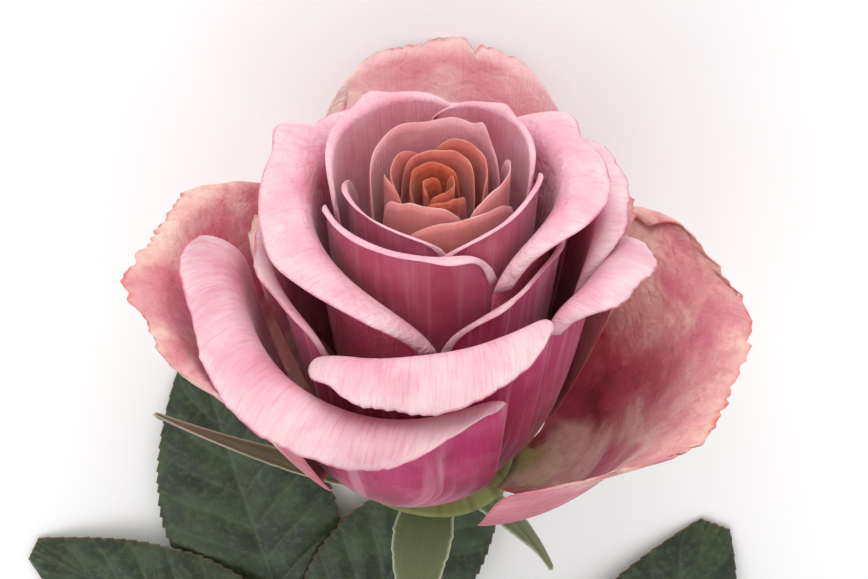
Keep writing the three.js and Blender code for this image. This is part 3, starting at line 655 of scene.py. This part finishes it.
def stem_path(stops, steps=400):
    """Points evenly spaced along a centripetal Catmull-Rom curve through the stops: each span is a cubic
    whose end slopes come from the neighbouring stops, weighed by the square roots of the distances between
    them."""
    held = np.vstack([2 * stops[0] - stops[1], stops, 2 * stops[-1] - stops[-2]])
    gap = np.sqrt(np.linalg.norm(np.diff(held, axis=0), axis=1))[:, None]
    chord = np.diff(held, axis=0) / gap
    bend = (held[2:] - held[:-2]) / (gap[1:] + gap[:-1])
    slopes = chord[:-1] - bend + chord[1:]
    leave, arrive = (slopes[:-1] * gap[1:-1])[:, None], (slopes[1:] * gap[1:-1])[:, None]
    t = np.linspace(0.0, 1.0, 60)[None, :, None]
    here, there = stops[:-1, None], stops[1:, None]
    spans = (here * (2 * t ** 3 - 3 * t ** 2 + 1) + there * (3 * t ** 2 - 2 * t ** 3)
             + leave * (t ** 3 - 2 * t ** 2 + t) + arrive * (t ** 3 - t ** 2)).reshape(-1, 2)
    run = np.concatenate([[0.0], np.cumsum(np.linalg.norm(np.diff(spans, axis=0), axis=1))])
    even = np.linspace(0.0, run[-1], steps)
    return np.stack([np.interp(even, run, spans[:, 0]), np.interp(even, run, spans[:, 1])], -1)


path = stem_path(stem_stops)


def stem_rings(path, sides=40):
    """A ring of points round each point of the path, square to it, with a slow swelling and a fine
    unevenness. The last rings step in to a flat cut end with a slightly sunken pith."""
    along = np.gradient(path, axis=0)
    along /= np.linalg.norm(along, axis=1, keepdims=True)
    turn = np.linspace(0.0, -2.0 * np.pi, sides, endpoint=False)
    share = np.linspace(0.0, 1.0, len(path))
    swell = 1.0 + 0.03 * ripple(share, 30.0) + 0.02 * np.cos(5.0 * turn)[:, None]
    radius = STEM_RADIUS * swell.T[..., None]
    across = np.stack([along[:, 1], 0.0 * along[:, 1], -along[:, 0]], -1)[:, None]
    behind = np.array([0.0, 1.0, 0.0])
    centre = np.stack([path[:, 0], 0.0 * path[:, 0], path[:, 1]], -1)[:, None]
    rings = centre + radius * (np.cos(turn)[None, :, None] * across + np.sin(turn)[None, :, None] * behind)
    sunk = np.array([[0.97, 0.0], [0.86, 0.0], [0.55, 0.1], [0.3, 0.25]])
    inward = np.stack([along[-1, 0], 0.0, along[-1, 1]])
    cut = centre[-1] + (rings[-1] - centre[-1]) * sunk[:, :1, None] - sunk[:, 1:, None] * inward
    return np.concatenate([rings, cut])


def prickle_rings(share, side, sides=14, rows=12):
    """A prickle: rings along an axis that leaves the bark outwards and hooks towards the cut end. Each ring
    is flat across the stem and long along it, and shrinks to the point."""
    even = np.linspace(0.0, 1.0, len(path))
    foot = np.array([np.interp(share, even, path[:, k]) for k in (0, 1)])
    outward = np.array([np.sin(np.radians(side)), -np.cos(np.radians(side)), 0.0])
    down = np.array([0.0, 0.0, -1.0])
    across = np.cross(outward, down)
    t = np.linspace(0.0, 1.0, rows)[:, None, None]
    turn = np.linspace(0.0, 2.0 * np.pi, sides, endpoint=False)[None, :, None]
    spine = (np.array([foot[0], 0.0, foot[1]]) + outward * (0.75 * STEM_RADIUS + t * (PRICKLE_LENGTH + 0.2))
             + down * (0.42 * PRICKLE_LENGTH * t ** 2))
    size = (1.0 - t) ** 1.5 + 0.03
    return spine + size * (0.75 * np.cos(turn) * across + 2.4 * np.sin(turn) * down)


def joined(name, parts):
    """One mesh from several, each part (rings, share along, prickle) made closed by itself."""
    made = [wrapped(name, rings, share, prickle=np.full(rings.shape[0] * rings.shape[1] + 2, thorn))
            for rings, share, thorn in parts]
    first = bpy.data.objects.new(name, made[0])
    others = [bpy.data.objects.new(name, mesh) for mesh in made[1:]]
    for piece in (first, *others):
        bpy.context.scene.collection.objects.link(piece)
    with bpy.context.temp_override(active_object=first, selected_editable_objects=[first, *others]):
        bpy.ops.object.join()
    mesh = first.data
    bpy.data.objects.remove(first)
    return mesh


def bark():
    """Smooth green bark, red-brown near the bloom and in patches, with fine lengthwise lines and pale dots,
    red-brown prickles, and pale pith on the cut."""
    recipe = Recipe("bark", 0.45, 0.05, 0.08, 0.8)
    lines = recipe.noise(1.0, 4.0, (14.0, 60.0, 1.0), 0.2)
    patch = recipe.noise(60.0, 3.0)
    colour = recipe.ramp(recipe.uv("Y"), [
        (0.0, (104, 70, 46)), (0.25, (98, 92, 50)), (0.7, (84, 98, 52)), (0.985, (78, 92, 50)),
        (0.992, (178, 186, 130)), (1.0, (206, 204, 168))])
    colour = recipe.mix(recipe.between(patch, 0.5, 0.68, 0.0, 0.5), colour, shade(112, 62, 48))
    colour = recipe.mix(recipe.between(lines, 0.45, 0.7, 0.0, 0.35), colour, shade(58, 60, 34))
    dots = recipe.between(recipe.noise(900.0, 0.0), 0.7, 0.78, 0.0, 0.6)
    colour = recipe.mix(dots, colour, shade(170, 160, 116))
    colour = recipe.mix(recipe.attribute("prickle"), colour, shade(134, 66, 52))
    return recipe.finish(colour, recipe.sums("ADD", lines, recipe.noise(1500.0, 2.0)), 0.35, 0.25)


rings = laid_down(stem_rings(path))
share = np.concatenate([np.linspace(0.0, 0.98, len(path)), [0.984, 0.99, 0.995, 1.0]])
parts = [(rings, share, 0.0)]
for number in range(PRICKLE_COUNT):
    place = FIRST_PRICKLE + PRICKLE_SPAN * number / PRICKLE_COUNT
    thorn = laid_down(prickle_rings(place, FIRST_PRICKLE_SIDE + PRICKLE_TURN * number))
    parts.append((thorn, np.full(12, place), 1.0))
placed("rose_stem", joined("rose_stem", parts), bark(), "stem", "stem")

# Leaf stalks: each leaf hangs on one thin grooved stalk that leaves the stem over a pair of winged
# stipules. It is green, flushed red in patches, and carries its leaflets in pairs with one at the end.
STALK_RADIUS = 0.9
LEAFLET_LENGTH = 66.0
LEAFLET_WIDTH = 36.0
CAD_LEAFLET = 0.6
FLOOR_CLEARANCE = 0.15
leaves = [
    {"side": 1, "out": 30, "ahead": 34, "heading": 15, "size": 1.0, "pairs": [(0.86, 66, -40, 0.88)]},
    {"side": -1, "out": 30, "ahead": 29, "heading": 24, "size": 1.0, "pairs": [(0.86, 80, -34, 0.76)]},
    {"side": 1, "out": 34, "ahead": 46, "heading": 24, "size": 0.74,
     "pairs": [(0.82, 80, -38, 0.66), (0.5, 104, -70, 0.5)]},
]


def stalk_line(leaf, number):
    """Points and directions along a leaf's stalk in millimetres, evenly spaced: a cubic curve that leaves
    the stem sideways, where the CAD stalk's inmost ring lies, and comes down to the table ahead of it."""
    side = leaf["side"]
    corners = np.array([corner.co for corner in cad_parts[f"leaf_{number}_stalk"].data.vertices]) / MM
    inmost = corners[np.abs(corners[:, 0] - (corners[:, 0] * side).min() * side) < 0.01]
    start = (inmost.max(axis=0) + inmost.min(axis=0)) / 2.0
    root_x = bloom_foot[0] / MM
    end = np.array([root_x + side * leaf["out"], start[1] - leaf["ahead"], STALK_RADIUS + 1.0])
    bend = np.array([root_x + side * leaf["out"] * 0.62, start[1] - 0.45 * leaf["ahead"], 0.55 * start[2]])
    lead = start + [side * leaf["out"] * 0.3, 0.0, 0.0]
    t = np.linspace(0.0, 1.0, 201)[:, None]
    line = (1 - t) ** 3 * start + 3 * t * (1 - t) ** 2 * lead + 3 * t * t * (1 - t) * bend + t ** 3 * end
    run = np.concatenate([[0.0], np.cumsum(np.linalg.norm(np.diff(line, axis=0), axis=1))])
    even = np.linspace(0.0, run[-1], 121)
    line = np.stack([np.interp(even, run, line[:, k]) for k in range(3)], -1)
    along = np.gradient(line, axis=0)
    return line, along / np.linalg.norm(along, axis=1, keepdims=True)


def stalk_rings(line, along, sides=20):
    """A ring round each point of the stalk, with a groove on top, thick at its foot where the stipules grow
    out as two flat wings, and thinner towards the leaflet at its end."""
    sideways = np.cross(along, [0.0, 0.0, 1.0])
    sideways /= np.linalg.norm(sideways, axis=1, keepdims=True)
    above = np.cross(sideways, along)
    turn = np.linspace(0.0, 2.0 * np.pi, sides, endpoint=False)[None, :]
    share = np.linspace(0.0, 1.0, len(line))[:, None]
    radius = STALK_RADIUS * (1.05 - 0.3 * share + 0.5 * np.exp(-((share / 0.06) ** 2)))
    wing = 2.4 * np.exp(-(((share - 0.12) / 0.1) ** 4)) * (1.0 + 0.2 * ripple(share, 60.0, 3))
    wide = radius * np.cos(turn) + wing * np.sign(np.cos(turn)) * np.abs(np.cos(turn)) ** 3
    tall = radius * np.sin(turn) - 0.3 * radius * np.exp(-(((turn - 0.5 * np.pi) / 0.35) ** 2))
    return line[:, None] + wide[..., None] * sideways[:, None] + tall[..., None] * above[:, None]


def stalk_skin():
    """Green stalk, flushed red in patches, with a fine even grain."""
    recipe = Recipe("stalk_skin", 0.5, 0.1, 0.1, 0.6)
    patch = recipe.noise(90.0, 3.0)
    colour = recipe.mix(recipe.between(patch, 0.42, 0.62), shade(92, 104, 58), shade(128, 66, 58))
    return recipe.finish(colour, recipe.noise(1400.0, 3.0), 0.3, 0.2)


stalk_green = stalk_skin()
stalks = [stalk_line(leaf, number) for number, leaf in enumerate(leaves, start=1)]
for number, (line, along) in enumerate(stalks, start=1):
    rings = stalk_rings(line, along) * MM
    mesh = wrapped(f"rose_leaf_{number}_stalk", rings, np.linspace(0.0, 1.0, len(line)))
    placed(f"rose_leaf_{number}_stalk", mesh, stalk_green, f"leaf_{number}_stalk", "leaf_stalks")

# Leaflets: dark green blades, glossy and a little quilted between their veins, paler beneath. Each is
# folded along its midrib, toothed along its margin, and rests on the table by its tip.
LEAFLET_THICKNESS = 0.3
VEIN_PAIRS = 8
VEIN_SLANT = 0.22
TEETH = 26


def leaflet_sheet(u, v, foot, heading, length, width):
    """A leaflet's middle: it runs from its foot to a tip on the table in a low arch, its outline widest
    just under the middle and cut into teeth that point ahead. It is folded along the midrib, sunk along the
    veins and puffed between them. Also returns how strongly each point lies on a vein."""
    sideways = np.array([-heading[1], heading[0], 0.0])
    tip_height = CAD_LEAFLET / 2.0 + FLOOR_CLEARANCE
    half = 0.5 * width * leaf_outline(v, 0.04, 0.02, 0.96, 0.82, 0.85)
    tooth = (TEETH * v) % 1.0
    half = half * (1.0 - 0.035 * tooth * smooth(np.abs(u), 0.6, 1.0) * smooth(v, 0.06, 0.15))
    arch = 0.22 * length * v * (1.0 - v)
    fold = (0.16 * np.abs(u) - 0.2 * u * u) * half
    phase = VEIN_PAIRS * (v - VEIN_SLANT * np.abs(u) ** 0.8)
    beside = np.abs(phase - np.round(phase)) / VEIN_PAIRS * length
    side_vein = np.exp(-((beside / 0.45) ** 2)) * (1.0 - 0.6 * np.abs(u)) * smooth(np.abs(u), 0.0, 0.06)
    midrib = np.exp(-((u * half / 0.55) ** 2)) * (1.0 - 0.5 * v)
    vein = np.maximum(side_vein * 0.8, midrib)
    puff = np.cos(np.pi * (phase - np.round(phase))) ** 2
    across = np.sin(np.pi * np.clip(np.abs(u), 0.0, 1.0))
    relief = -0.35 * vein + 0.5 * (1.0 - puff) * across * smooth(v, 0.0, 0.2)
    curl = 0.03 * half * ripple(v + 0.3 * u, 9.0, 3) * np.abs(u) ** 2
    low = foot[2] + (tip_height - foot[2]) * v ** 0.8
    height = np.maximum(low + arch + fold + relief + curl, tip_height)
    place = foot + (length * v)[..., None] * heading + (u * half)[..., None] * sideways
    place[..., 2] = height
    return place, vein


def leaf_blade():
    """Dark waxy green above, mottled, with paler veins from the vein attribute and a thin reddish margin;
    the underside is pale grey-green."""
    recipe = Recipe("leaf_blade", 0.38, 0.05, 0.08, 0.6, specular=0.45)
    mottled = recipe.noise(140.0, 4.0)
    top = recipe.mix(recipe.between(mottled, 0.35, 0.68), shade(26, 38, 20), shade(54, 70, 40))
    fine = recipe.noise(700.0, 3.0)
    top = recipe.mix(recipe.between(fine, 0.45, 0.7, 0.0, 0.35), top, shade(84, 100, 62))
    vein = recipe.attribute("vein")
    top = recipe.mix(recipe.sums("MULTIPLY", vein, 0.35), top, shade(104, 120, 80))
    under = recipe.mix(recipe.sums("MULTIPLY", vein, 0.5), shade(118, 132, 100), shade(156, 164, 126))
    colour = recipe.mix(recipe.attribute("inner"), top, under)
    margin = recipe.between(recipe.attribute("rim"), 0.0, 0.5, 0.7, 0.0)
    colour = recipe.mix(margin, colour, shade(110, 70, 50))
    return recipe.finish(colour, recipe.sums("ADD", fine, recipe.noise(2600.0, 2.0)), 0.35, 0.3)


blade = leaf_blade()


def add_leaflet(name, node, foot, degrees, side, size):
    """One leaflet from its foot, heading the given degrees from ahead towards the leaf's own side."""
    angle = np.radians(degrees)
    heading = np.array([side * np.sin(angle), -np.cos(angle), 0.0])
    u, v = np.meshgrid(np.linspace(1.0, -1.0, 73), np.linspace(0.0, 1.0, 157))
    middle, vein = leaflet_sheet(u, v, foot, heading, size * LEAFLET_LENGTH, size * LEAFLET_WIDTH)
    uv = np.stack([0.5 + 0.5 * u, v], -1)
    placed(name, closed_sheet(name, middle * MM, LEAFLET_THICKNESS, uv, vein=vein), blade, node, "leaflets")


for number, (leaf, (line, along)) in enumerate(zip(leaves, stalks), start=1):
    side = leaf["side"]
    node = f"leaf_{number}_leaflet_"
    add_leaflet(f"rose_{node}1", f"{node}1", line[-1] + along[-1] * 2.0 * PIECE_GAP, leaf["heading"], side,
                leaf["size"])
    for pair, (at, outer, inner, size) in enumerate(leaf["pairs"]):
        place = int(round(at * (len(line) - 1)))
        run = along[place] * [1.0, 1.0, 0.0]
        away = np.array([-run[1], run[0], 0.0]) / np.linalg.norm(run)
        for k, degrees in enumerate((outer, inner)):
            angle = np.radians(degrees)
            way = np.sign(away[0] * side * np.sin(angle) - away[1] * np.cos(angle))
            foot = line[place] + way * away * (STALK_RADIUS + 5.0 * PIECE_GAP) + [0.0, 0.0, STALK_RADIUS]
            count = 2 + 2 * pair + k
            add_leaflet(f"rose_{node}{count}", f"{node}{count}", foot, degrees, side, leaf["size"] * size)

# Floor and light: a pale seamless table, one broad soft light high over the head that shines into the
# bloom, a weaker one from the stem's side, and an even white surround.
ground = bpy.data.meshes.new("table_top")
reach = 3.0
ground.from_pydata([(-reach, -reach, -0.0003), (reach, -reach, -0.0003), (reach, reach, -0.0003),
                    (-reach, reach, -0.0003)], [], [(0, 1, 2, 3)])
table_top = bpy.data.objects.new("table_top", ground)
bpy.context.scene.collection.objects.link(table_top)
matt = bpy.data.materials.new("pale_table")
matt.use_nodes = True
matt.node_tree.nodes["Principled BSDF"].inputs["Base Color"].default_value = (0.96, 0.96, 0.96, 1.0)
matt.node_tree.nodes["Principled BSDF"].inputs["Roughness"].default_value = 0.9
ground.materials.append(matt)


def soft_light(name, direction, distance, size, power):
    """A square area light at a distance from the bloom's foot along a direction, turned to face it."""
    lamp = bpy.data.objects.new(name, bpy.data.lights.new(name, "AREA"))
    bpy.context.scene.collection.objects.link(lamp)
    lamp.data.size = size
    lamp.data.energy = power
    away = Vector(direction).normalized()
    lamp.location = Vector(bloom_foot) + away * distance
    lamp.rotation_euler = away.to_track_quat("Z", "Y").to_euler()


soft_light("key", Vector(bloom_axis) * 1.0 + to_camera * 0.45, 1.2, 0.7, 8.0)
soft_light("fill", (0.6, 0.7, 1.0), 1.4, 1.2, 3.0)
world = bpy.data.worlds.new("surround")
bpy.context.scene.world = world
world.use_nodes = True
world.node_tree.nodes["Background"].inputs["Color"].default_value = (1.0, 1.0, 1.0, 1.0)
world.node_tree.nodes["Background"].inputs["Strength"].default_value = 0.82
